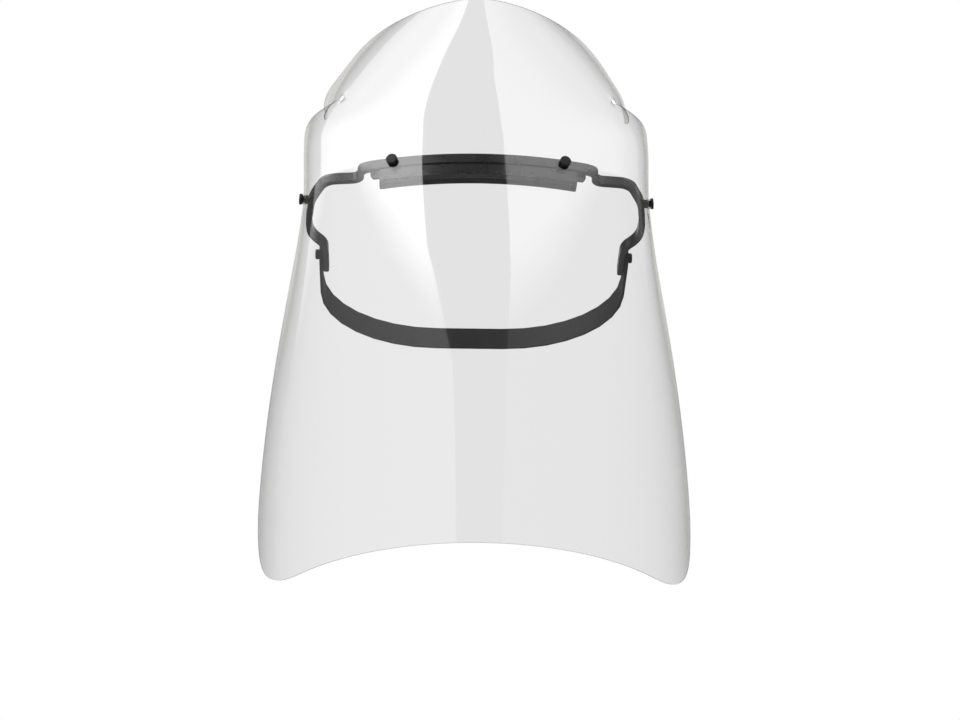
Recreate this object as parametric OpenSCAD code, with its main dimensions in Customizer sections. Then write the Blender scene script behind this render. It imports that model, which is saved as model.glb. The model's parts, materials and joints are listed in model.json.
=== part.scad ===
// Face shield: a clear bent visor film held by four studs on a slim spectacle-like headband,
// with a brow pad at the front and a perforated strap that swings on two studs at the ears.
// The headband lies in the XY plane, the wearer looks along -Y and Z points up.
// The origin is the centre of the head opening at the level of the headband.

/* [Visor film] */
// Height of the film above the studs
film_top = 93; // [80:1:105]
// Height of the film below the studs
film_drop = 208; // [180:1:215]
// Distance from the origin to the film at the brow
film_reach = 98; // [96:0.5:102]
// Thickness of the film
film_t = 0.5; // [0.4:0.05:0.8]
// Half width of the flat sheet along its bottom edge
sheet_half_bottom = 154; // [145:1:160]
// Half width of the flat sheet at the side studs
sheet_half_band = 117; // [115:1:120]
// Half width of the flat sheet along its top edge
sheet_half_top = 128; // [120:1:140]
// Height of the two side slits above the studs
slit_z = 45; // [40:1:48]
// Distance from the centre line to the inner end of a slit, along the sheet
slit_s = 71; // [66:1:76]

/* [Headband] */
// Height of the headband strip
band_h = 4.8; // [4.4:0.2:6]
// Thickness of the front bar
bar_t = 3.2; // [3:0.2:4]
// Thickness of the side arms
arm_t = 3.2; // [3:0.2:3.6]
// Half length of the front bar
bar_half = 60; // [58:1:62]

/* [Brow pad] */
// Half width of the brow pad
pad_half = 49; // [44:1:52]
// Depth of the pad foam
foam_t = 7; // [5:0.5:9]

/* [Studs] */
// Diameter of a film stud's cap
cap_d = 5.6; // [5.4:0.1:7]
// Distance of a front stud from the centre line, along the sheet
front_stud_s = 43; // [38:1:46]

/* [Strap] */
// Height of the rear strap
strap_h = 12; // [10:1:16]
// Thickness of the rear strap
strap_t = 1.4; // [1:0.1:2]

/* [Hidden] */
$fn = 48;

// The film's cross-sections. At the studs it is a shallow front arc, two corner arcs and
// straight sides, at the bottom it is one round arc and at the top it is a narrow parabola.
front_r = 180;
corner_start_s = 64.5;
corner_r = 37;
corner_end_s = 110;
bend_blend = 4;
bottom_r = 109.5;
flare_depth = 165;
flare_power = 2.2;
centre_s = 90;
narrow_z = 22;
hood_centre_s = 80;
hood_power = 5;
hood_nose = 18;
hood_nose_s = 14;
hood_rate = 0.57;
hood_end_s = 86;
hood_taper = 4;
wing_blend = 24;
wing_flare = 5.5;
flap_blend = 14;
flap_curl = 14;
bottom_corner_r = 58;
wing_corner_r = 9;
hood_corner_r = 12;
flap_corner_r = 44;
slit_gap = 0.8;
keyhole_r = 1.6;
keyhole_reach = 4;

// Where the film meets the headband
film_gap = 1;
side_stud_s = 107;
play = 0.1;
boss_d = 5.4;
boss_depth = 2.5;
side_boss_d = 4.4;
side_boss_depth = 4;
film_hole_r = 1.9;
shank_r = 1.57;
shank_bevel = 0.3;
front_shank = film_gap + bar_t - play;
side_shank = 5.3;
bore_r = 1.6;
bore_depth = 12;
through = 2;
cap_t = 1.5;
cap_bevel = 0.1;
cap_round = 0.5;
cap_dome = 0.2;
washer_t = 0.5;
washer_gap = 0.3;
washer_r = 2.5;

// Arms of the headband
arm_end_y = 16;
bar_overlap = 10;
bend_steps = 8;

// Brow pad
carrier_t = 2;
pad_bottom = -8.8;
foam_inset = 0.3;
lip_depth = 2.4;
tab_w = 4.4;
tab_h = 5;
tab_top = -0.8;
tab_r = 1.8;

// Strap
ear_y = 3;
ear_x = 77.4;
neck_r = 1.7;
strap_hole_r = 1.75;
strap_cap_d = 5.2;
strap_cap_t = 2;
strap_cap_bevel = 0.5;
strap_back_y = 96;
strap_bend_r = 62;
strap_end_r = 6;
adjust_pitch = 9;
adjust_holes = 4;

function smooth(t) = let (u = max(0, min(1, t))) u * u * (3 - 2 * u);
function mix(a, b, t) = a + (b - a) * t;
function tanh(t) = (exp(2 * t) - 1) / (exp(2 * t) + 1);
function ramp(t) = bend_blend * ln(1 + exp(t / bend_blend));
function last(list) = list[len(list) - 1];

// Direction of the sheet, in degrees from the X axis, at a distance s from its centre line
function corner_turn(s) = s / front_r + (1 / corner_r - 1 / front_r) * ramp(s - corner_start_s);
function band_turn(s) = 180 / PI * (corner_turn(s) - ramp(s - corner_end_s) / corner_r);
function bottom_turn(s) = 180 / PI * s / bottom_r;
function top_turn(s) =
    hood_nose * tanh(s / hood_nose_s) + hood_rate * (s - ramp(s - hood_end_s));

function drop_turn(s, z) =
    let (centre = smooth(-z / film_drop),
         outer = 1 - pow(max(0, 1 + z / flare_depth), flare_power))
    mix(band_turn(s), bottom_turn(s), mix(centre, outer, smooth(s / centre_s)));
function rise_turn(s, z) =
    let (centre = pow(z / film_top, hood_power),
         outer = smooth((z - narrow_z) / (film_top - narrow_z)))
    mix(band_turn(s), top_turn(s), mix(centre, outer, smooth(s / hood_centre_s)));
// Behind a slit the wing below it stays near the headband and the flap above it curls inwards
function wing_turn(s, z) = mix(rise_turn(s, z), band_turn(s) - wing_flare * pow(z / slit_z, 3),
    smooth((s - slit_s) / wing_blend));
function flap_turn(s, z) = rise_turn(s, z)
    + flap_curl * smooth((s - slit_s) / flap_blend) * (film_top - z) / (film_top - slit_z);
function sheet_turn(s, z, hood) =
    hood ? flap_turn(s, z)
    : z < 0 ? drop_turn(s, z)
    : s <= slit_s ? rise_turn(s, z) : wing_turn(s, z);

// Points [x, y, direction] along one half of a cross-section at the distances in s
function section(s, z, hood = false) = [
    for (i = 0, x = 0, y = -film_reach, a = 0; i < len(s);
         i = i + 1,
         ds = i < len(s) ? s[i] - s[i - 1] : 0,
         m = i < len(s) ? sheet_turn((s[i] + s[i - 1]) / 2, z, hood) : 0,
         x = x + ds * cos(m),
         y = y + ds * sin(m),
         a = i < len(s) ? sheet_turn(s[i], z, hood) : 0)
    [x, y, a]];
function sheet_point(s) = last(section([for (i = [0:1:s]) i], 0));

// Outline of the flat sheet: its half width at a height, with the corners rounded
function rounded_in(r, d) = d >= r ? 0 : r - sqrt(max(0, r * r - (r - d) * (r - d)));
function sheet_half(z) =
    (z < 0 ? mix(sheet_half_band, sheet_half_bottom, -z / film_drop) : sheet_half_band)
    - rounded_in(bottom_corner_r, z + film_drop) - rounded_in(wing_corner_r, slit_z - z);
function hood_half(z) =
    mix(sheet_half_top - hood_taper, sheet_half_top, (z - slit_z) / (film_top - slit_z))
    - rounded_in(hood_corner_r, film_top - z) - rounded_in(flap_corner_r, z - slit_z);
function corner_rows(r, n) = [for (i = [0:n]) r * (1 - cos(90 * i / n))];

// Heights of the rows of the sheet, below and above the slits
lower_rows = concat(
    [for (d = corner_rows(bottom_corner_r, 6)) d - film_drop],
    [for (z = [-135:15:0]) z],
    [for (z = [11, 22]) z],
    [for (i = [4:-1:0]) slit_z - corner_rows(wing_corner_r, 5)[i]]);
upper_rows = concat(
    [for (i = [0:5]) slit_z + corner_rows(flap_corner_r, 8)[i]],
    [73],
    [for (i = [4:-1:0]) film_top - corner_rows(hood_corner_r, 5)[i]]);

// Distances from the centre line: fixed up to the slit's end, then spread out to the edge
inner_s = [0, 10, 20, 30, 39, 48, 56, 62, 67, slit_s];
keyhole_s = [0, 0.5, 1.6, 2.7, 3.2];
spread = [0.14, 0.26, 0.38, 0.5, 0.62, 0.75, 0.88, 1];
tip = len(inner_s) - 1;
cols = tip + len(keyhole_s) - 1 + len(spread);
function row_s(half) = concat(inner_s,
    [for (i = [1:len(keyhole_s) - 1]) slit_s + keyhole_s[i]],
    [for (u = spread) mix(slit_s + last(keyhole_s), half, u)]);
// Half the height of the slit at a column, which opens into a round keyhole at its end
function slit_open(c) =
    c <= tip ? 0
    : c < tip + len(keyhole_s)
    ? max(slit_gap / 2, sqrt(max(0, pow(keyhole_r, 2) - pow(keyhole_s[c - tip] - keyhole_r, 2))))
    : slit_gap / 2;

// One row of points from the left edge to the right edge, at a depth into the sheet.
// Rows close to a slit give way to it.
function sheet_row(z, hood, out) =
    let (p = section(row_s(hood ? hood_half(z) : sheet_half(z)), z, hood),
         give = (hood ? 1 : -1) * max(0, 1 - abs(z - slit_z) / keyhole_reach))
    [for (c = [-cols:cols])
        let (q = p[abs(c)], side = c < 0 ? -1 : 1)
        [side * (q.x + out * sin(q.z)), q.y - out * cos(q.z), z + give * slit_open(abs(c))]];
function sheet_face(out) = concat(
    [for (z = lower_rows) sheet_row(z, false, out)],
    [for (z = upper_rows) sheet_row(z, true, out)]);

wide = 2 * cols + 1;
slit_row = len(lower_rows) - 1;
all_rows = len(lower_rows) + len(upper_rows);
block_rows = concat([for (r = [0:slit_row - 1]) r], [for (r = [slit_row + 1:all_rows - 2]) r]);
// Number of a point. Between the slits the first row of the hood is the last row below it.
function point_at(side, row, col) =
    let (r = row == slit_row + 1 && abs(col - cols) <= tip ? slit_row : row)
    (side * all_rows + r) * wide + col;
function quad(a, b, c, d) = [[a, b, c], [a, c, d]];
function face_of(side) = [for (r = block_rows, c = [0:wide - 2])
    let (a = point_at(side, r, c), b = point_at(side, r, c + 1),
         d = point_at(side, r + 1, c), e = point_at(side, r + 1, c + 1))
    each side == 0 ? quad(a, b, e, d) : quad(a, d, e, b)];
// The narrow face between the two sides, along a row or a column
function rim_row(r, from, to, flip) = [for (c = [from:to - 1])
    let (a = point_at(0, r, c), b = point_at(0, r, c + 1),
         d = point_at(1, r, c), e = point_at(1, r, c + 1))
    each flip ? quad(a, d, e, b) : quad(a, b, e, d)];
function rim_col(c, flip) = [for (r = block_rows)
    let (a = point_at(0, r, c), b = point_at(0, r + 1, c),
         d = point_at(1, r, c), e = point_at(1, r + 1, c))
    each flip ? quad(a, b, e, d) : quad(a, d, e, b)];

// Puts children on the film's inner face, at a distance s along the sheet, with +Z outwards
module on_film(s, side) {
    p = sheet_point(s);
    translate([side * p.x, p.y, 0]) rotate([0, 0, side * p.z]) rotate([90, 0, 0]) children();
}

module visor_film() {
    color([0.85, 0.9, 0.92, 0.35]) difference() {
        polyhedron(
            points = [for (out = [0, film_t]) each [for (row = sheet_face(out)) each row]],
            faces = concat(face_of(0), face_of(1),
                rim_row(0, 0, wide - 1, true), rim_row(all_rows - 1, 0, wide - 1, false),
                rim_row(slit_row, 0, cols - tip, false),
                rim_row(slit_row, cols + tip, wide - 1, false),
                rim_row(slit_row + 1, 0, cols - tip, true),
                rim_row(slit_row + 1, cols + tip, wide - 1, true),
                rim_col(0, true), rim_col(wide - 1, false)),
            convexity = 8);
        for (side = [-1, 1], s = [front_stud_s, side_stud_s])
            on_film(s, side) translate([0, 0, -through])
                cylinder(r = film_hole_r, h = film_t + 2 * through);
    }
}

// Headband: a path of corners [x, y, fillet radius] becomes points and then a strip
function unit(v) = v / norm(v);
function xy(p) = [p.x, p.y];
function fillet(a, b, c, r) =
    let (u = unit(a - b), v = unit(c - b), half = acos(u * v) / 2,
         centre = b + unit(u + v) * r / sin(half),
         from = b + u * r / tan(half) - centre,
         sweep = (u.x * v.y - u.y * v.x > 0 ? -1 : 1) * (180 - 2 * half))
    [for (i = [0:bend_steps]) let (t = atan2(from.y, from.x) + sweep * i / bend_steps)
        centre + r * [cos(t), sin(t)]];
function rounded(path) = concat([xy(path[0])],
    [for (i = [1:len(path) - 2]) each fillet(xy(path[i - 1]), xy(path[i]), xy(path[i + 1]),
        path[i].z)],
    [xy(last(path))]);
function beside(p, d) = [for (i = [0:len(p) - 1])
    let (t = unit(p[min(i + 1, len(p) - 1)] - p[max(i - 1, 0)]))
    p[i] + d * [-t.y, t.x]];
function reversed(list) = [for (i = [len(list) - 1:-1:0]) list[i]];
module strip(path, w) {
    p = rounded(path);
    polygon(concat(beside(p, w / 2), reversed(beside(p, -w / 2))));
}
// The part of a ring about the centre of the front bar's arc that lies within a half width
module bar_ring(r_out, r_in, half) {
    translate([0, front_r - film_reach]) intersection() {
        difference() {
            circle(r = r_out, $fn = 360);
            circle(r = r_in, $fn = 360);
        }
        translate([-half, -2 * r_out]) square([2 * half, 2 * r_out]);
    }
}
function bar_y(r, x) = front_r - film_reach - sqrt(r * r - x * x);

bar_front_r = front_r - film_gap;
bar_back_r = bar_front_r - bar_t;
arm_path = [
    [bar_half - bar_overlap, bar_y(bar_back_r + bar_t / 2, bar_half - bar_overlap), 0],
    [bar_half - arm_t / 2, bar_y(bar_back_r + bar_t / 2, bar_half), 4.6],
    [bar_half - arm_t / 2, -76.2, 4.6],
    [76.5, -74, 9],
    [83.2, -56, 40],
    [85.4, -35, 80],
    [84.9, -20, 24],
    [ear_x, -9, 18],
    [ear_x, arm_end_y, 0]];

module ear_axis(side) {
    translate([side * (ear_x + arm_t / 2), ear_y, 0]) rotate([0, side * 90, 0]) children();
}

module headband_frame() {
    color([0.17, 0.18, 0.19]) difference() {
        union() {
            translate([0, 0, -band_h / 2]) linear_extrude(band_h) {
                bar_ring(bar_front_r, bar_back_r, bar_half - bar_overlap / 2);
                for (side = [-1, 1]) {
                    mirror([side < 0 ? 1 : 0, 0]) strip(arm_path, arm_t);
                    translate([side * ear_x, arm_end_y]) circle(d = arm_t);
                }
            }
            for (side = [-1, 1]) {
                on_film(front_stud_s, side)
                    translate([0, 0, -boss_depth]) cylinder(d = boss_d, h = boss_depth - play);
                on_film(side_stud_s, side)
                    translate([0, 0, -side_boss_depth])
                        cylinder(d = side_boss_d, h = side_boss_depth - play);
            }
        }
        for (side = [-1, 1]) {
            for (s = [front_stud_s, side_stud_s])
                on_film(s, side) translate([0, 0, -bore_depth])
                    cylinder(r = bore_r, h = bore_depth + through);
            ear_axis(side) translate([0, 0, -arm_t - through])
                cylinder(r = bore_r, h = arm_t + 2 * through);
        }
    }
}

module brow_pad_carrier() {
    plate_r = bar_back_r - play;
    color([0.12, 0.12, 0.13]) {
        translate([0, 0, pad_bottom]) linear_extrude(band_h / 2 - pad_bottom)
            bar_ring(plate_r, plate_r - carrier_t, pad_half);
        translate([0, 0, pad_bottom]) linear_extrude(-pad_bottom - boss_d / 2 - play)
            bar_ring(plate_r + lip_depth, plate_r - carrier_t, pad_half);
        for (side = [-1, 1])
            translate([side * pad_half, bar_y(plate_r - carrier_t / 2, pad_half), tab_top - tab_h])
                rotate([0, 0, side * asin(pad_half / plate_r)]) {
                    translate([-tab_w, -carrier_t / 2, tab_r]) cube([2 * tab_w, carrier_t, tab_h - tab_r]);
                    translate([tab_r - tab_w, -carrier_t / 2, 0])
                        cube([2 * (tab_w - tab_r), carrier_t, tab_h]);
                    for (x = [-1, 1]) translate([x * (tab_w - tab_r), carrier_t / 2, tab_r])
                        rotate([90, 0, 0]) cylinder(r = tab_r, h = carrier_t);
                }
    }
}

module brow_pad_foam() {
    foam_r = bar_back_r - carrier_t - 2 * play;
    color([0.1, 0.1, 0.1]) translate([0, 0, pad_bottom + foam_inset])
        linear_extrude(band_h / 2 - pad_bottom - 2 * foam_inset)
            bar_ring(foam_r, foam_r - foam_t, pad_half);
}

// A film stud: a domed cap and a shank that snaps into the headband
module film_stud(s, side, shank) {
    r = cap_d / 2;
    base = film_t + washer_gap + washer_t + play;
    crown = base + cap_t - cap_dome;
    color([0.06, 0.06, 0.06]) on_film(s, side) rotate_extrude() polygon(concat(
        [[0, -shank], [shank_r - shank_bevel, -shank], [shank_r, shank_bevel - shank],
            [shank_r, base], [r - cap_bevel, base], [r, base + cap_bevel]],
        [for (t = [0:15:75]) [r - cap_round * (1 - cos(t)), crown - cap_round * (1 - sin(t))]],
        [[r - cap_round, crown], [0, base + cap_t]]));
}

module film_washer(s, side) {
    color([0.1, 0.1, 0.1]) on_film(s, side) translate([0, 0, film_t + washer_gap]) difference() {
        cylinder(r = washer_r, h = washer_t);
        translate([0, 0, -through]) cylinder(r = shank_r + play, h = washer_t + 2 * through);
    }
}

module rear_strap() {
    x = ear_x + arm_t / 2 + 2 * play + strap_t / 2;
    front = ear_y - strap_end_r;
    color([0.14, 0.14, 0.15]) difference() {
        translate([0, 0, -strap_h / 2]) linear_extrude(strap_h) strip([[x, front, 0],
            [x, strap_back_y, strap_bend_r], [-x, strap_back_y, strap_bend_r], [-x, front, 0]],
            strap_t);
        for (side = [-1, 1]) ear_axis(side) {
            for (i = [0:adjust_holes - 1]) translate([0, i * adjust_pitch, -through])
                cylinder(r = strap_hole_r, h = strap_t + 3 * through);
            translate([-strap_h, -strap_end_r - play, -through]) difference() {
                cube([2 * strap_h, strap_end_r + play, strap_t + 3 * through]);
                translate([strap_h, strap_end_r + play, -play])
                    cylinder(r = strap_end_r, h = strap_t + 4 * through);
            }
        }
    }
}

module strap_stud(side) {
    neck = strap_t + 4 * play;
    r = strap_cap_d / 2;
    color([0.06, 0.06, 0.06]) ear_axis(side) rotate_extrude() polygon([[0, -arm_t],
        [shank_r - shank_bevel, -arm_t], [shank_r, shank_bevel - arm_t], [shank_r, play / 2],
        [neck_r, play / 2], [neck_r, neck], [r - cap_bevel, neck], [r, neck + cap_bevel],
        [r, neck + strap_cap_t - strap_cap_bevel], [r - strap_cap_bevel, neck + strap_cap_t],
        [0, neck + strap_cap_t]]);
}

visor_film();
headband_frame();
brow_pad_carrier();
brow_pad_foam();
film_stud(front_stud_s, -1, front_shank);  // front_stud_left
film_stud(front_stud_s, 1, front_shank);  // front_stud_right
film_stud(side_stud_s, -1, side_shank);  // side_stud_left
film_stud(side_stud_s, 1, side_shank);  // side_stud_right
film_washer(front_stud_s, -1);  // front_washer_left
film_washer(front_stud_s, 1);  // front_washer_right
film_washer(side_stud_s, -1);  // side_washer_left
film_washer(side_stud_s, 1);  // side_washer_right
rear_strap();
strap_stud(-1);  // strap_stud_left
strap_stud(1);  // strap_stud_right
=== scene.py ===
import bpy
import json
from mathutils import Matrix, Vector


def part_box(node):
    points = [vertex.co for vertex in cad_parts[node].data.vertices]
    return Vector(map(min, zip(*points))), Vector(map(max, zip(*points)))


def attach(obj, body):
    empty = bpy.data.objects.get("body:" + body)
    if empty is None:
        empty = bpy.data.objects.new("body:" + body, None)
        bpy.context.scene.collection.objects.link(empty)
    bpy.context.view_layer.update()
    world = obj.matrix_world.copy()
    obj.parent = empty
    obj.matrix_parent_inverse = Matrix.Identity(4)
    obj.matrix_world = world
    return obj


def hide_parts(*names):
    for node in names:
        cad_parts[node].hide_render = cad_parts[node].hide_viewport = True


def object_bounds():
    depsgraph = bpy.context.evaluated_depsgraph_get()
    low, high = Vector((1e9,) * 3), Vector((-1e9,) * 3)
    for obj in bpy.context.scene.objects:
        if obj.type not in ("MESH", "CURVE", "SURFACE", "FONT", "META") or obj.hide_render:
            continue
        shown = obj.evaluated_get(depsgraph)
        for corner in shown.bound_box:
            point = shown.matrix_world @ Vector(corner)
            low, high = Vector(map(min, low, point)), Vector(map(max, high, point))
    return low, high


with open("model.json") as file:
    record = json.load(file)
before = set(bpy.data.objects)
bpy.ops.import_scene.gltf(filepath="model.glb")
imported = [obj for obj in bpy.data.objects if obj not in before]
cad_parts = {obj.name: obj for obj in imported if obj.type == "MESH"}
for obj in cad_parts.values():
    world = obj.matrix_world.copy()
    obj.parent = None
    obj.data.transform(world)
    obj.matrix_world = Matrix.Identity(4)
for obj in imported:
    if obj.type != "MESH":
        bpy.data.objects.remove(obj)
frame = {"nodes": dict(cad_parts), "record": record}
cad_box = [list(corner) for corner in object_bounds()]

import json
import math

import bmesh
import bpy
import numpy as np
from mathutils import Matrix, Vector

MM = 0.001

# ---------------------------------------------------------------- view
# The camera looks up at the object from in front and a little from the wearer's right.
box_low, box_high = (Vector(corner) for corner in cad_box)
box_centre = (box_low + box_high) / 2
VIEW_RISE = math.radians(27.2)
VIEW_TURN = math.radians(1.5)
VIEW_DISTANCE = 1.6
VIEW_LENS = 114.9
VIEW_AIM = box_centre + Vector((0.0038, 0.0262, 0.008))


def make_camera():
    forward = Vector((math.sin(VIEW_TURN) * math.cos(VIEW_RISE),
                      math.cos(VIEW_TURN) * math.cos(VIEW_RISE), math.sin(VIEW_RISE)))
    data = bpy.data.cameras.new("camera")
    data.lens = VIEW_LENS
    data.sensor_width = 36
    data.clip_start = 0.05
    data.clip_end = 100
    camera = bpy.data.objects.new("camera", data)
    bpy.context.scene.collection.objects.link(camera)
    camera.location = VIEW_AIM - forward * VIEW_DISTANCE
    camera.rotation_euler = forward.to_track_quat("-Z", "Y").to_euler()
    bpy.context.scene.camera = camera


# ---------------------------------------------------------------- mesh helpers
# Corners closer than WELD become one, and faces that bend less than FLAT_DEG are joined. An
# edge that bends more than EDGE_DEG is rounded, and one above SHADE_DEG stays sharp in shading.
WELD = 2e-6
FLAT_DEG = 0.6
EDGE_DEG = 32
SHADE_DEG = 38


def link(name, mesh, *materials):
    piece = bpy.data.objects.new(name, mesh)
    bpy.context.scene.collection.objects.link(piece)
    for material in materials:
        mesh.materials.append(material)
    return piece


def apply_modifiers(piece):
    bpy.context.view_layer.update()
    graph = bpy.context.evaluated_depsgraph_get()
    mesh = bpy.data.meshes.new_from_object(piece.evaluated_get(graph))
    piece.modifiers.clear()
    old = piece.data
    piece.data = mesh
    bpy.data.meshes.remove(old)
    return piece


def softened(node, name, material, edge, steps=3):
    """A copy of a CAD node with its edges rounded, which stands for that node."""
    mesh = frame["nodes"][node].data.copy()
    mesh.materials.clear()
    build = bmesh.new()
    build.from_mesh(mesh)
    bmesh.ops.remove_doubles(build, verts=build.verts, dist=WELD)
    bmesh.ops.dissolve_limit(build, angle_limit=math.radians(FLAT_DEG), verts=build.verts,
                             edges=build.edges, delimit={"NORMAL"})
    sharp = [e for e in build.edges
             if len(e.link_faces) == 2 and e.calc_face_angle(0) > math.radians(EDGE_DEG)]
    bmesh.ops.bevel(build, geom=sharp, offset=edge, offset_type="OFFSET", segments=steps,
                    profile=0.5, affect="EDGES", clamp_overlap=True)
    build.to_mesh(mesh)
    build.free()
    mesh.shade_smooth()
    mesh.set_sharp_from_angle(angle=math.radians(SHADE_DEG))
    piece = link(name, mesh, material)
    weighted = piece.modifiers.new("weighted", "WEIGHTED_NORMAL")
    weighted.keep_sharp = True
    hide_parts(node)
    return piece


# ---------------------------------------------------------------- materials
# The film's share of mirrored light when it is seen straight on, the light it lets through, and
# how late the mirror grows as the view slants.
FILM_MIRROR = 0.05
FILM_TINT = (0.915, 0.916, 0.915)
SLANT_POWER = 5.0


def new_material(name):
    material = bpy.data.materials.new(name)
    material.use_nodes = True
    tree = material.node_tree
    tree.nodes.clear()
    output = tree.nodes.new("ShaderNodeOutputMaterial")
    return material, tree, output


def add_node(tree, kind, **settings):
    node = tree.nodes.new(kind)
    for key, value in settings.items():
        setattr(node, key, value)
    return node


def maths(tree, operation, first, second=None):
    node = add_node(tree, "ShaderNodeMath", operation=operation)
    for socket, value in zip(node.inputs, (first, second)):
        if isinstance(value, bpy.types.NodeSocket):
            tree.links.new(value, socket)
        elif value is not None:
            socket.default_value = value
    return node.outputs[0]


def object_place(tree):
    return add_node(tree, "ShaderNodeTexCoord").outputs["Object"]


def noise(tree, place, scale, detail=4.0, roughness=0.55):
    node = add_node(tree, "ShaderNodeTexNoise")
    node.inputs["Scale"].default_value = scale
    node.inputs["Detail"].default_value = detail
    node.inputs["Roughness"].default_value = roughness
    tree.links.new(place, node.inputs["Vector"])
    return node.outputs["Fac"]


def spread(tree, value, low, high, from_low=0.3, from_high=0.7):
    node = add_node(tree, "ShaderNodeMapRange")
    tree.links.new(value, node.inputs["Value"])
    for name, number in (("From Min", from_low), ("From Max", from_high),
                         ("To Min", low), ("To Max", high)):
        node.inputs[name].default_value = number
    return node.outputs["Result"]


def tinted(tree, value, dark, light):
    node = add_node(tree, "ShaderNodeMix", data_type="RGBA")
    tree.links.new(value, node.inputs["Factor"])
    node.inputs["A"].default_value = (*dark, 1)
    node.inputs["B"].default_value = (*light, 1)
    return node.outputs["Result"]


def bump(tree, height, strength, distance):
    node = add_node(tree, "ShaderNodeBump")
    node.inputs["Strength"].default_value = strength
    node.inputs["Distance"].default_value = distance
    tree.links.new(height, node.inputs["Height"])
    return node.outputs["Normal"]


def moulded_plastic(name, dark, light, gloss, grain, grain_height, ior=1.5):
    """Moulded plastic with a fine sparked grain, uneven gloss and a little dust."""
    material, tree, output = new_material(name)
    shader = add_node(tree, "ShaderNodeBsdfPrincipled")
    place = object_place(tree)
    patches = noise(tree, place, scale=60, detail=5)
    fine = noise(tree, place, scale=grain, detail=2, roughness=0.4)
    colour = tinted(tree, spread(tree, patches, 0, 1), dark, light)
    tree.links.new(colour, shader.inputs["Base Color"])
    tree.links.new(spread(tree, patches, gloss - 0.05, gloss + 0.07), shader.inputs["Roughness"])
    shader.inputs["IOR"].default_value = ior
    tree.links.new(bump(tree, fine, strength=0.5, distance=grain_height), shader.inputs["Normal"])
    tree.links.new(shader.outputs["BSDF"], output.inputs["Surface"])
    return material


def pad_foam_material():
    """Closed-cell foam: small round cells that break the surface, with painted shade darkening
    their pits.
    """
    material, tree, output = new_material("pad_foam")
    shader = add_node(tree, "ShaderNodeBsdfPrincipled")
    place = object_place(tree)
    cells = add_node(tree, "ShaderNodeTexVoronoi")
    cells.inputs["Scale"].default_value = 1500
    tree.links.new(place, cells.inputs["Vector"])
    soft = noise(tree, place, scale=220, detail=4)
    height = maths(tree, "ADD", cells.outputs["Distance"], maths(tree, "MULTIPLY", soft, 0.8))
    # The darker colour in the pits is painted shade: it follows the same height as the bump.
    depth = spread(tree, height, 0, 1, from_low=0.4, from_high=1.1)
    colour = tinted(tree, depth, dark=(0.010, 0.010, 0.011), light=(0.036, 0.036, 0.039))
    tree.links.new(colour, shader.inputs["Base Color"])
    tree.links.new(spread(tree, soft, 0.78, 0.95), shader.inputs["Roughness"])
    shader.inputs["Sheen Weight"].default_value = 0.15
    shader.inputs["Sheen Roughness"].default_value = 0.5
    tree.links.new(bump(tree, height, strength=0.7, distance=0.0002), shader.inputs["Normal"])
    tree.links.new(shader.outputs["BSDF"], output.inputs["Surface"])
    return material


def film_material():
    """Clear thermoplastic film: it lets light straight through, mirrors more at a slant,
    and has faint long waves and a trace of haze from rolling."""
    material, tree, output = new_material("clear_film")
    place = object_place(tree)
    facing = add_node(tree, "ShaderNodeLayerWeight")
    facing.inputs["Blend"].default_value = 0.5
    slant = maths(tree, "POWER", facing.outputs["Facing"], SLANT_POWER)
    mirror = maths(tree, "ADD", maths(tree, "MULTIPLY", slant, 1 - FILM_MIRROR), FILM_MIRROR)
    clear = add_node(tree, "ShaderNodeBsdfTransparent")
    clear.inputs["Color"].default_value = (*FILM_TINT, 1)
    gloss = add_node(tree, "ShaderNodeBsdfGlossy")
    gloss.inputs["Color"].default_value = (1, 1, 1, 1)
    waves = noise(tree, place, scale=14, detail=2, roughness=0.4)
    haze = noise(tree, place, scale=90, detail=3)
    tree.links.new(spread(tree, haze, 0.015, 0.05), gloss.inputs["Roughness"])
    tree.links.new(bump(tree, waves, strength=0.06, distance=0.002), gloss.inputs["Normal"])
    mixed = add_node(tree, "ShaderNodeMixShader")
    tree.links.new(mirror, mixed.inputs[0])
    tree.links.new(clear.outputs[0], mixed.inputs[1])
    tree.links.new(gloss.outputs[0], mixed.inputs[2])
    tree.links.new(mixed.outputs[0], output.inputs["Surface"])
    return material


def film_rim_painted_highlight_material():
    """The cut rim of the film, painted pale: a painted highlight for the light that it gathers."""
    material, tree, output = new_material("film_edge_painted_highlight")
    shader = add_node(tree, "ShaderNodeBsdfPrincipled")
    place = object_place(tree)
    nicks = noise(tree, place, scale=700, detail=2)
    # Both tones are pale, a painted highlight along the rim, and the noise varies it at random.
    colour = tinted(tree, spread(tree, nicks, 0, 1), dark=(0.62, 0.66, 0.68),
                    light=(0.86, 0.89, 0.9))
    tree.links.new(colour, shader.inputs["Base Color"])
    tree.links.new(spread(tree, nicks, 0.2, 0.45), shader.inputs["Roughness"])
    shader.inputs["Alpha"].default_value = 0.75
    tree.links.new(shader.outputs["BSDF"], output.inputs["Surface"])
    return material


# ---------------------------------------------------------------- film shape, in millimetres
# The sheet is bent by its direction at a distance s from the centre line and a height z.
FILM_T = 0.5
FILM_TOP = round(box_high.z / MM, 3)
FILM_DROP = round(-box_low.z / MM, 3)
FILM_REACH = 98
SHEET_HALF_BOTTOM = 154
SHEET_HALF_BAND = 117
SHEET_HALF_TOP = 128
SLIT_Z = 45
SLIT_S = 71
SLIT_GAP = 0.8
KEYHOLE_R = 1.6
KEYHOLE_REACH = 4
FRONT_R = 180
CORNER_START = 64.5
CORNER_R = 37
CORNER_END = 110
BEND_BLEND = 4
CENTRE_S = 90
BOTTOM_R = 109.5
FLARE_DEPTH = 165
FLARE_POWER = 2.2
HOOD_CENTRE_S = 80
HOOD_POWER = 5
HOOD_NOSE = 18
HOOD_NOSE_S = 14
HOOD_RATE = 0.57
HOOD_END_S = 86
HOOD_TAPER = 4
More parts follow.
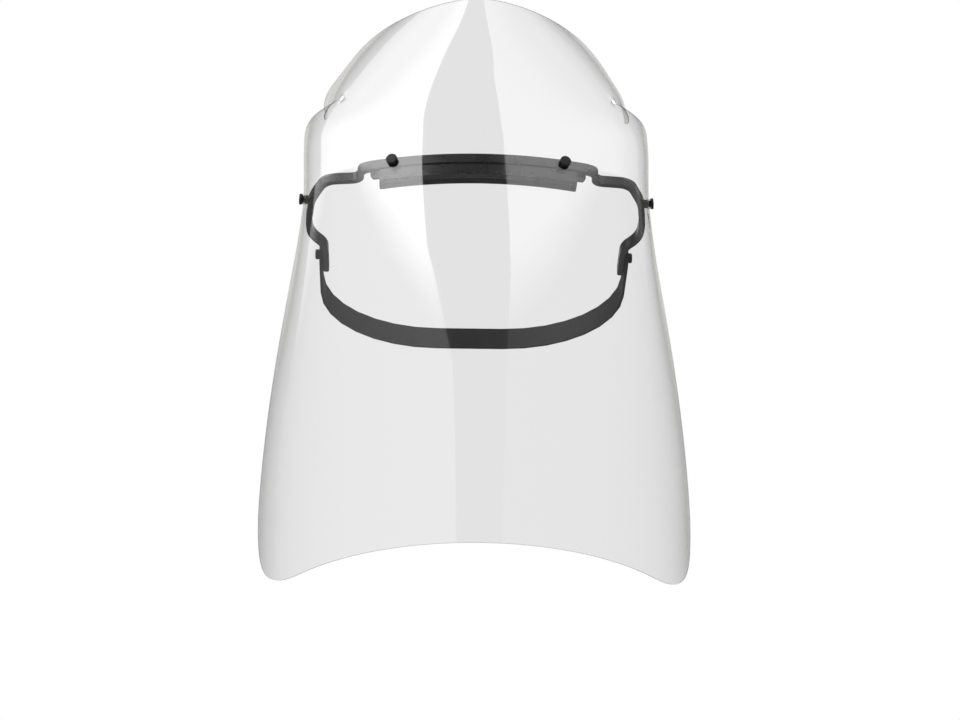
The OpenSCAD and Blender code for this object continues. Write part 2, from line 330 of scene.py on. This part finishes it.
NARROW_Z = 22
WING_FLARE = 5.5
WING_BLEND = 24
FLAP_CURL = 14
FLAP_BLEND = 14
FLAP_CORNER_R = 44
BOTTOM_CORNER_R = 58
WING_CORNER_R = 9
HOOD_CORNER_R = 12
STUD_HOLE_R = 1.9
STUD_S = (43, 107)
HOLE_SIDES = 40
HOLE_CUT = 6
FILM_SHADE_DEG = 40
SHEET_SLOT = 0
RIM_SLOT = 1


def smooth(t):
    u = np.clip(t, 0, 1)
    return u * u * (3 - 2 * u)


def mix(a, b, t):
    return a + (b - a) * t


def ramp(t):
    return BEND_BLEND * np.logaddexp(0, t / BEND_BLEND)


def band_turn(s):
    turn = s / FRONT_R + (1 / CORNER_R - 1 / FRONT_R) * ramp(s - CORNER_START)
    return np.degrees(turn - ramp(s - CORNER_END) / CORNER_R)


def top_turn(s):
    return HOOD_NOSE * np.tanh(s / HOOD_NOSE_S) + HOOD_RATE * (s - ramp(s - HOOD_END_S))


def drop_turn(s, z):
    centre = smooth(-z / FILM_DROP)
    outer = 1 - np.power(np.maximum(0, 1 + z / FLARE_DEPTH), FLARE_POWER)
    bottom = np.degrees(s / BOTTOM_R)
    return mix(band_turn(s), bottom, mix(centre, outer, smooth(s / CENTRE_S)))


def rise_turn(s, z):
    centre = np.power(np.maximum(0, z) / FILM_TOP, HOOD_POWER)
    outer = smooth((z - NARROW_Z) / (FILM_TOP - NARROW_Z))
    return mix(band_turn(s), top_turn(s), mix(centre, outer, smooth(s / HOOD_CENTRE_S)))


def sheet_turn(s, z, hood):
    rise = rise_turn(s, z)
    flared = band_turn(s) - WING_FLARE * (z / SLIT_Z) ** 3
    wing = mix(rise, flared, smooth((s - SLIT_S) / WING_BLEND))
    curl = FLAP_CURL * smooth((s - SLIT_S) / FLAP_BLEND)
    flap = rise + curl * (FILM_TOP - z) / (FILM_TOP - SLIT_Z)
    below = np.where(z < 0, drop_turn(s, np.minimum(z, 0)), np.where(s <= SLIT_S, rise, wing))
    return np.where(hood, flap, below)


def sheet_points(s, z, hood, steps=160):
    """Places [x, y] and direction of the sheet at distances s from its centre line."""
    side = np.where(s < 0, -1.0, 1.0)
    reach = np.abs(s)
    stride = (reach / steps)[:, None]
    middle = (np.arange(steps) + 0.5)[None, :] * stride
    turn = np.radians(sheet_turn(middle, z[:, None], hood[:, None]))
    x = (np.cos(turn) * stride).sum(1)
    y = (np.sin(turn) * stride).sum(1) - FILM_REACH
    end = np.radians(sheet_turn(reach, z, hood))
    return side * x, y, side * end


def rounded_in(r, d):
    """How far a corner of radius r draws the side in, at a distance d from its end."""
    return 0 if d >= r else r - math.sqrt(max(0, r * r - (r - d) ** 2))


def sheet_half(z):
    """Half the width of the flat sheet below the slits, at a height z."""
    half = mix(SHEET_HALF_BAND, SHEET_HALF_BOTTOM, -z / FILM_DROP) if z < 0 else SHEET_HALF_BAND
    return half - rounded_in(BOTTOM_CORNER_R, z + FILM_DROP) - rounded_in(WING_CORNER_R, SLIT_Z - z)


def hood_half(z):
    """Half the width of the flat hood above the slits, at a height z."""
    half = mix(SHEET_HALF_TOP - HOOD_TAPER, SHEET_HALF_TOP, (z - SLIT_Z) / (FILM_TOP - SLIT_Z))
    return half - rounded_in(HOOD_CORNER_R, FILM_TOP - z) - rounded_in(FLAP_CORNER_R, z - SLIT_Z)


# ---------------------------------------------------------------- film mesh
# Its rows lie closer together near the studs and the corners, where the outline or the bend
# changes fast. Distances are in millimetres.
STUD_BAND = 8
DROP_END = -6
DROP_STRIDE = 4
STUD_STRIDE = 1.6
WING_STRIDE = 3.5
HOOD_STRIDE = 3
LARGE_CORNER_ROWS = 16
SMALL_CORNER_ROWS = 8
FLAP_ROWS = 11
INNER_COUNT = 26
KEYHOLE_COUNT = 8
OUTER_COUNT = 24


def corner_rows(r, count):
    return [r * (1 - math.cos(math.pi / 2 * i / count)) for i in range(count + 1)]


def even(low, high, stride):
    count = max(1, round((high - low) / stride))
    return [low + (high - low) * i / count for i in range(1, count)]


def film_rows():
    """Heights of the sheet's rows below and above its two slits."""
    corner = [d - FILM_DROP for d in corner_rows(BOTTOM_CORNER_R, LARGE_CORNER_ROWS)]
    drop = even(corner[-1], DROP_END, DROP_STRIDE)
    studs = even(-STUD_BAND, STUD_BAND, STUD_STRIDE)
    wing = [SLIT_Z - d for d in reversed(corner_rows(WING_CORNER_R, SMALL_CORNER_ROWS))]
    rise = even(STUD_BAND, wing[0], WING_STRIDE)
    flap = [SLIT_Z + d for d in corner_rows(FLAP_CORNER_R, LARGE_CORNER_ROWS)[:FLAP_ROWS]]
    top = [FILM_TOP - d for d in reversed(corner_rows(HOOD_CORNER_R, SMALL_CORNER_ROWS))]
    return corner + drop + studs + rise + wing, flap + even(flap[-1], top[0], HOOD_STRIDE) + top


# Columns from the centre line: up to the slit's end, across its round hole, then to the side.
INNER_S = [SLIT_S * i / INNER_COUNT for i in range(INNER_COUNT + 1)]
KEYHOLE_S = [KEYHOLE_R * (1 - math.cos(math.pi * i / KEYHOLE_COUNT))
             for i in range(KEYHOLE_COUNT + 1)]
TIP = len(INNER_S) - 1
COLUMNS = TIP + len(KEYHOLE_S) - 1 + OUTER_COUNT


def row_s(half):
    start = SLIT_S + KEYHOLE_S[-1]
    return (INNER_S + [SLIT_S + d for d in KEYHOLE_S[1:]]
            + [mix(start, half, (i + 1) / OUTER_COUNT) for i in range(OUTER_COUNT)])


def slit_open(column):
    """Half the opening of the slit or of its end hole at a column."""
    if column <= TIP:
        return 0
    if column < TIP + len(KEYHOLE_S):
        across = KEYHOLE_S[column - TIP] - KEYHOLE_R
        return max(SLIT_GAP / 2, math.sqrt(max(0, KEYHOLE_R ** 2 - across ** 2)))
    return SLIT_GAP / 2


def film_mesh():
    lower, upper = film_rows()
    rows = [(z, False) for z in lower] + [(z, True) for z in upper]
    s, z, hood, lift = [], [], [], []
    for height, above in rows:
        distances = row_s(hood_half(height) if above else sheet_half(height))
        give = (1 if above else -1) * max(0, 1 - abs(height - SLIT_Z) / KEYHOLE_REACH)
        for column in range(-COLUMNS, COLUMNS + 1):
            s.append(math.copysign(distances[abs(column)], column))
            z.append(height)
            hood.append(above)
            lift.append(give * slit_open(abs(column)))
    s, z, hood = np.array(s), np.array(z, float), np.array(hood)
    x, y, turn = sheet_points(s, z, hood)
    height = z + np.array(lift)
    wide = 2 * COLUMNS + 1
    count = len(s)
    inner = np.stack([x, y, height], 1)
    outer = inner + FILM_T * np.stack([np.sin(turn), -np.cos(turn), np.zeros(count)], 1)
    build = bmesh.new()
    verts = [build.verts.new(p * MM) for p in np.concatenate([inner, outer])]
    slit_row = len(lower) - 1

    def at(layer, row, column):
        if row == slit_row + 1 and abs(column - COLUMNS) <= TIP:
            row = slit_row
        return verts[layer * count + row * wide + column]

    def face(corners, slot):
        made = build.faces.new(corners)
        made.material_index = slot
        made.smooth = True

    blocks = [r for r in range(len(rows) - 1) if r != slit_row]
    for row in blocks:
        for column in range(wide - 1):
            quad = [(row, column), (row, column + 1), (row + 1, column + 1), (row + 1, column)]
            face([at(0, *p) for p in reversed(quad)], SHEET_SLOT)
            face([at(1, *p) for p in quad], SHEET_SLOT)
        for column, order in ((0, 1), (wide - 1, -1)):
            rim = [at(0, row, column), at(1, row, column), at(1, row + 1, column),
                   at(0, row + 1, column)]
            face(rim[::order], RIM_SLOT)
    whole = range(wide - 1)
    cut = [c for c in whole if not COLUMNS - TIP <= c < COLUMNS + TIP]
    for row, columns, order in ((0, whole, 1), (slit_row, cut, -1), (slit_row + 1, cut, 1),
                                (len(rows) - 1, whole, -1)):
        for column in columns:
            rim = [at(0, row, column), at(0, row, column + 1), at(1, row, column + 1),
                   at(1, row, column)]
            face(rim[::order], RIM_SLOT)
    bmesh.ops.recalc_face_normals(build, faces=build.faces)
    bmesh.ops.delete(build, geom=[v for v in build.verts if not v.link_faces], context="VERTS")
    mesh = bpy.data.meshes.new("visor_film_sheet")
    build.to_mesh(mesh)
    build.free()
    return mesh


def film_axis(s):
    """The matrix of a stud at a distance s along the sheet: its Z points out of the film."""
    x, y, turn = (float(v[0]) for v in sheet_points(np.array([float(s)]), np.zeros(1),
                                                    np.array([False])))
    outward = Vector((math.sin(turn), -math.cos(turn), 0))
    up = Vector((0, 0, 1))
    along = up.cross(outward)
    matrix = Matrix((along, up, outward)).transposed().to_4x4()
    matrix.translation = Vector((x, y, 0)) * MM
    return matrix


def make_film():
    film = link("visor_film_sheet", film_mesh(), film_material(), film_rim_painted_highlight_material())
    build = bmesh.new()
    for side in (-1, 1):
        for s in STUD_S:
            made = bmesh.ops.create_cone(build, cap_ends=True, segments=HOLE_SIDES,
                                         radius1=STUD_HOLE_R * MM, radius2=STUD_HOLE_R * MM,
                                         depth=HOLE_CUT * MM, matrix=film_axis(side * s))
            for vertex in made["verts"]:
                for cutter_face in vertex.link_faces:
                    cutter_face.material_index = RIM_SLOT
    cutter_mesh = bpy.data.meshes.new("stud_holes")
    build.to_mesh(cutter_mesh)
    build.free()
    cutter = link("stud_holes", cutter_mesh)
    holes = film.modifiers.new("holes", "BOOLEAN")
    holes.operation = "DIFFERENCE"
    holes.solver = "EXACT"
    holes.object = cutter
    apply_modifiers(film)
    bpy.data.objects.remove(cutter)
    film.data.set_sharp_from_angle(angle=math.radians(FILM_SHADE_DEG))
    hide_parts("visor_film")
    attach(film, "shield")
    return film


# ---------------------------------------------------------------- brow pad, in millimetres
# Behind the film come a gap, the front bar, the pad's backing and the foam, with play between.
FILM_GAP = 1
BAR_T = 3.2
CARRIER_T = 2
PLAY = 0.1
FOAM_T = 7
PAD_COLUMNS = 72
PAD_SIDES = 40
PAD_SQUARENESS = 0.34
PAD_CROWN = 0.9
PAD_THINNER = 0.45
PAD_SET_BACK = 0.2
PAD_HEIGHT_SHARE = 0.985
PAD_END_R = 1.2
PAD_END_THINNER = 0.3
PAD_END_LOWER = 0.16


def squared(value):
    """A cosine or sine pushed towards -1 or 1, which makes a circle into a rounded box."""
    return math.copysign(abs(value) ** PAD_SQUARENESS, value)


def make_pad(material):
    """Soft foam along the inside of the front bar, crowned towards the forehead."""
    low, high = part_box("brow_pad_foam")
    half = high.x
    arc_r = (FRONT_R - FILM_GAP - BAR_T - CARRIER_T - 2 * PLAY) * MM
    centre_y = (FRONT_R - FILM_REACH) * MM
    depth = FOAM_T * MM
    tall = (high.z - low.z) / 2
    middle = (high.z + low.z) / 2
    end_r = PAD_END_R * MM
    build = bmesh.new()
    rings = []
    for i in range(PAD_COLUMNS + 1):
        u = -math.cos(math.pi * i / PAD_COLUMNS)
        edge = (1 - abs(u)) * half
        tuck = 1 - math.sqrt(max(0, 1 - (1 - min(1, edge / end_r)) ** 2))
        ring = []
        for k in range(PAD_SIDES):
            angle = 2 * math.pi * k / PAD_SIDES
            inward = squared(math.cos(angle))
            upward = squared(math.sin(angle))
            crown = PAD_CROWN * MM * (1 - upward ** 2) if inward > 0 else 0
            thick = (depth / 2 - PAD_THINNER * MM) * inward + crown
            back = depth / 2 + thick * (1 - PAD_END_THINNER * tuck) - PAD_SET_BACK * MM
            height = middle + tall * upward * (1 - PAD_END_LOWER * tuck) * PAD_HEIGHT_SHARE
            radius = arc_r - back
            x = u * half
            ring.append(build.verts.new((x, centre_y - math.sqrt(radius ** 2 - x ** 2), height)))
        rings.append(ring)
    for a, b in zip(rings, rings[1:]):
        for k in range(PAD_SIDES):
            n = (k + 1) % PAD_SIDES
            build.faces.new((a[k], a[n], b[n], b[k]))
    build.faces.new(rings[0])
    build.faces.new(reversed(rings[-1]))
    bmesh.ops.recalc_face_normals(build, faces=build.faces)
    mesh = bpy.data.meshes.new("brow_pad")
    build.to_mesh(mesh)
    build.free()
    mesh.shade_smooth()
    pad = link("brow_pad", mesh, material)
    rounding = pad.modifiers.new("smooth", "SUBSURF")
    rounding.levels = 1
    rounding.render_levels = 1
    apply_modifiers(pad)
    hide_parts("brow_pad_foam")
    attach(pad, "shield")
    return pad


# ---------------------------------------------------------------- plastic pieces
# How far each kind of piece has its edges rounded, in millimetres.
HEADBAND_EDGE = 0.5
BACKING_EDGE = 0.35
STRAP_EDGE = 0.35
WASHER_EDGE = 0.16
STUD_EDGE = 0.22


def make_plastics():
    """The headband, backing, strap, studs and washers, each a softened copy of its CAD node."""
    frame_plastic = moulded_plastic(
        "frame_plastic", dark=(0.012, 0.0125, 0.014), light=(0.022, 0.023, 0.025),
        gloss=0.26, grain=2600, grain_height=0.00004, ior=1.72)
    stud_plastic = moulded_plastic(
        "stud_plastic", dark=(0.007, 0.007, 0.0075), light=(0.014, 0.014, 0.015),
        gloss=0.48, grain=3200, grain_height=0.00008)
    strap_rubber = moulded_plastic(
        "strap_rubber", dark=(0.016, 0.016, 0.017), light=(0.028, 0.028, 0.030),
        gloss=0.62, grain=1800, grain_height=0.00006)
    for node, body in sorted((n, b) for b, ns in
                             frame["record"]["behaviour"]["bodies"].items() for n in ns):
        if node in ("visor_film", "brow_pad_foam"):
            continue
        if node == "headband_frame":
            piece = softened(node, "headband_moulding", frame_plastic, HEADBAND_EDGE * MM)
        elif node == "brow_pad_carrier":
            piece = softened(node, "brow_pad_backing", frame_plastic, BACKING_EDGE * MM)
        elif node == "rear_strap":
            piece = softened(node, "strap_band", strap_rubber, STRAP_EDGE * MM)
        else:
            edge = WASHER_EDGE if "washer" in node else STUD_EDGE
            piece = softened(node, node + "_piece", stud_plastic, edge * MM)
        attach(piece, body)


# ---------------------------------------------------------------- studio, in metres
# Each panel is dim below a bright step and fades again further up.
PANEL_R = 2.6
PANEL_STEPS = 24
STEP_LEVELS = (0.36, 1.8)
STEP_HEIGHTS = (1.2, 1.34)
FADE_LEVELS = (1, 0.55)
FADE_HEIGHTS = (1.55, 2.7)
# The room is dim, with one much brighter patch behind the object and above it.
ROOM_COLOUR = (1, 0.985, 0.96, 1)
ROOM_LEVELS = (0.1, 0.7)
ROOM_REACH = (1.02, 1.12)
ROOM_RISE = 0.6
FLOOR_HALF = 12
FLOOR_DROP = 1.6


def light_panel(name, levels, brightness):
    """A tall curved panel between two leaning edges. Its levels are (height, direction of the
    front edge, direction of the rear edge), in degrees from the front. Its brightness is given
    as stops of (share of the way, radiance), from the front edge at the third level to the
    rear edge at the first."""
    start_deg, end_deg = levels[2][1], levels[0][2]
    build = bmesh.new()
    columns = []
    for i in range(PANEL_STEPS + 1):
        column = []
        for z, front_deg, rear_deg in levels:
            turn = math.radians(mix(front_deg, rear_deg, i / PANEL_STEPS))
            place = (PANEL_R * math.sin(turn), -PANEL_R * math.cos(turn), z)
            column.append(build.verts.new(place))
        columns.append(column)
    for a, b in zip(columns, columns[1:]):
        for k in range(len(levels) - 1):
            build.faces.new((a[k], b[k], b[k + 1], a[k + 1]))
    mesh = bpy.data.meshes.new(name)
    build.to_mesh(mesh)
    build.free()
    material, tree, output = new_material(name)
    glow = add_node(tree, "ShaderNodeEmission")
    flat = add_node(tree, "ShaderNodeSeparateXYZ")
    tree.links.new(object_place(tree), flat.inputs[0])
    forward = maths(tree, "MULTIPLY", flat.outputs["Y"], -1.0)
    turn = maths(tree, "ARCTAN2", flat.outputs["X"], forward)
    way = spread(tree, turn, 0, 1, math.radians(start_deg), math.radians(end_deg))
    curve = add_node(tree, "ShaderNodeFloatCurve")
    points = curve.mapping.curves[0].points
    peak = max(level for _, level in brightness)
    while len(points) < len(brightness):
        points.new(0.5, 0.5)
    for point, (share, level) in zip(points, brightness):
        point.location = (share, level / peak)
        point.handle_type = "VECTOR"
    curve.mapping.update()
    tree.links.new(way, curve.inputs["Value"])
    rise = spread(tree, flat.outputs["Z"], *STEP_LEVELS, *STEP_HEIGHTS)
    fall = spread(tree, flat.outputs["Z"], *FADE_LEVELS, *FADE_HEIGHTS)
    level = maths(tree, "MULTIPLY", maths(tree, "MULTIPLY", curve.outputs[0], peak),
                  maths(tree, "MULTIPLY", rise, fall))
    tree.links.new(level, glow.inputs["Strength"])
    tree.links.new(glow.outputs[0], output.inputs["Surface"])
    link(name, mesh, material)


def make_panels():
    light_panel("softbox_left",
                [(-1, -8, -124), (1.15, -10, -124), (1.32, -18, -116), (1.5, -17.5, -100),
                 (1.8, -17, -104), (7, -14, -116)],
                [(0, 2.0), (0.3, 1.8), (0.46, 1.75), (0.6, 1.4), (0.78, 1.0), (1, 0.5)])
    light_panel("softbox_right",
                [(-1, 13, 126), (1.3, 13.6, 118), (1.65, 7.2, 112), (1.8, 10, 112),
                 (7, 11, 112)],
                [(0, 0.95), (0.25, 0.9), (0.5, 0.75), (0.7, 0.35), (1, 0.15)])


def make_world():
    """The camera sees plain white. Every other ray sees the dim room."""
    world = bpy.data.worlds.new("studio")
    bpy.context.scene.world = world
    world.use_nodes = True
    tree = world.node_tree
    tree.nodes.clear()
    output = add_node(tree, "ShaderNodeOutputWorld")
    seen = add_node(tree, "ShaderNodeBackground")
    seen.inputs["Color"].default_value = (1, 1, 1, 1)
    seen.inputs["Strength"].default_value = 1.0
    room = add_node(tree, "ShaderNodeBackground")
    room.inputs["Color"].default_value = ROOM_COLOUR
    direction = add_node(tree, "ShaderNodeSeparateXYZ")
    tree.links.new(add_node(tree, "ShaderNodeTexCoord").outputs["Generated"], direction.inputs[0])
    behind = maths(tree, "ADD", direction.outputs["Y"],
                   maths(tree, "MULTIPLY", direction.outputs["Z"], ROOM_RISE))
    backdrop = spread(tree, behind, *ROOM_LEVELS, *ROOM_REACH)
    tree.links.new(backdrop, room.inputs["Strength"])
    path = add_node(tree, "ShaderNodeLightPath")
    mixed = add_node(tree, "ShaderNodeMixShader")
    tree.links.new(path.outputs["Is Camera Ray"], mixed.inputs[0])
    tree.links.new(room.outputs[0], mixed.inputs[1])
    tree.links.new(seen.outputs[0], mixed.inputs[2])
    tree.links.new(mixed.outputs[0], output.inputs["Surface"])


def make_floor():
    floor_mesh = bpy.data.meshes.new("floor")
    half, level = FLOOR_HALF, box_low.z - FLOOR_DROP
    floor_mesh.from_pydata([(-half, -half, level), (half, -half, level), (half, half, level),
                            (-half, half, level)], [], [(0, 1, 2, 3)])
    material, tree, output = new_material("floor")
    shader = add_node(tree, "ShaderNodeBsdfPrincipled")
    shader.inputs["Base Color"].default_value = (0.85, 0.85, 0.85, 1)
    shader.inputs["Roughness"].default_value = 0.9
    tree.links.new(shader.outputs["BSDF"], output.inputs["Surface"])
    link("floor", floor_mesh, material)


make_camera()
make_film()
make_plastics()
make_pad(pad_foam_material())
make_panels()
make_world()
make_floor()
bpy.context.scene.view_settings.view_transform = "Standard"
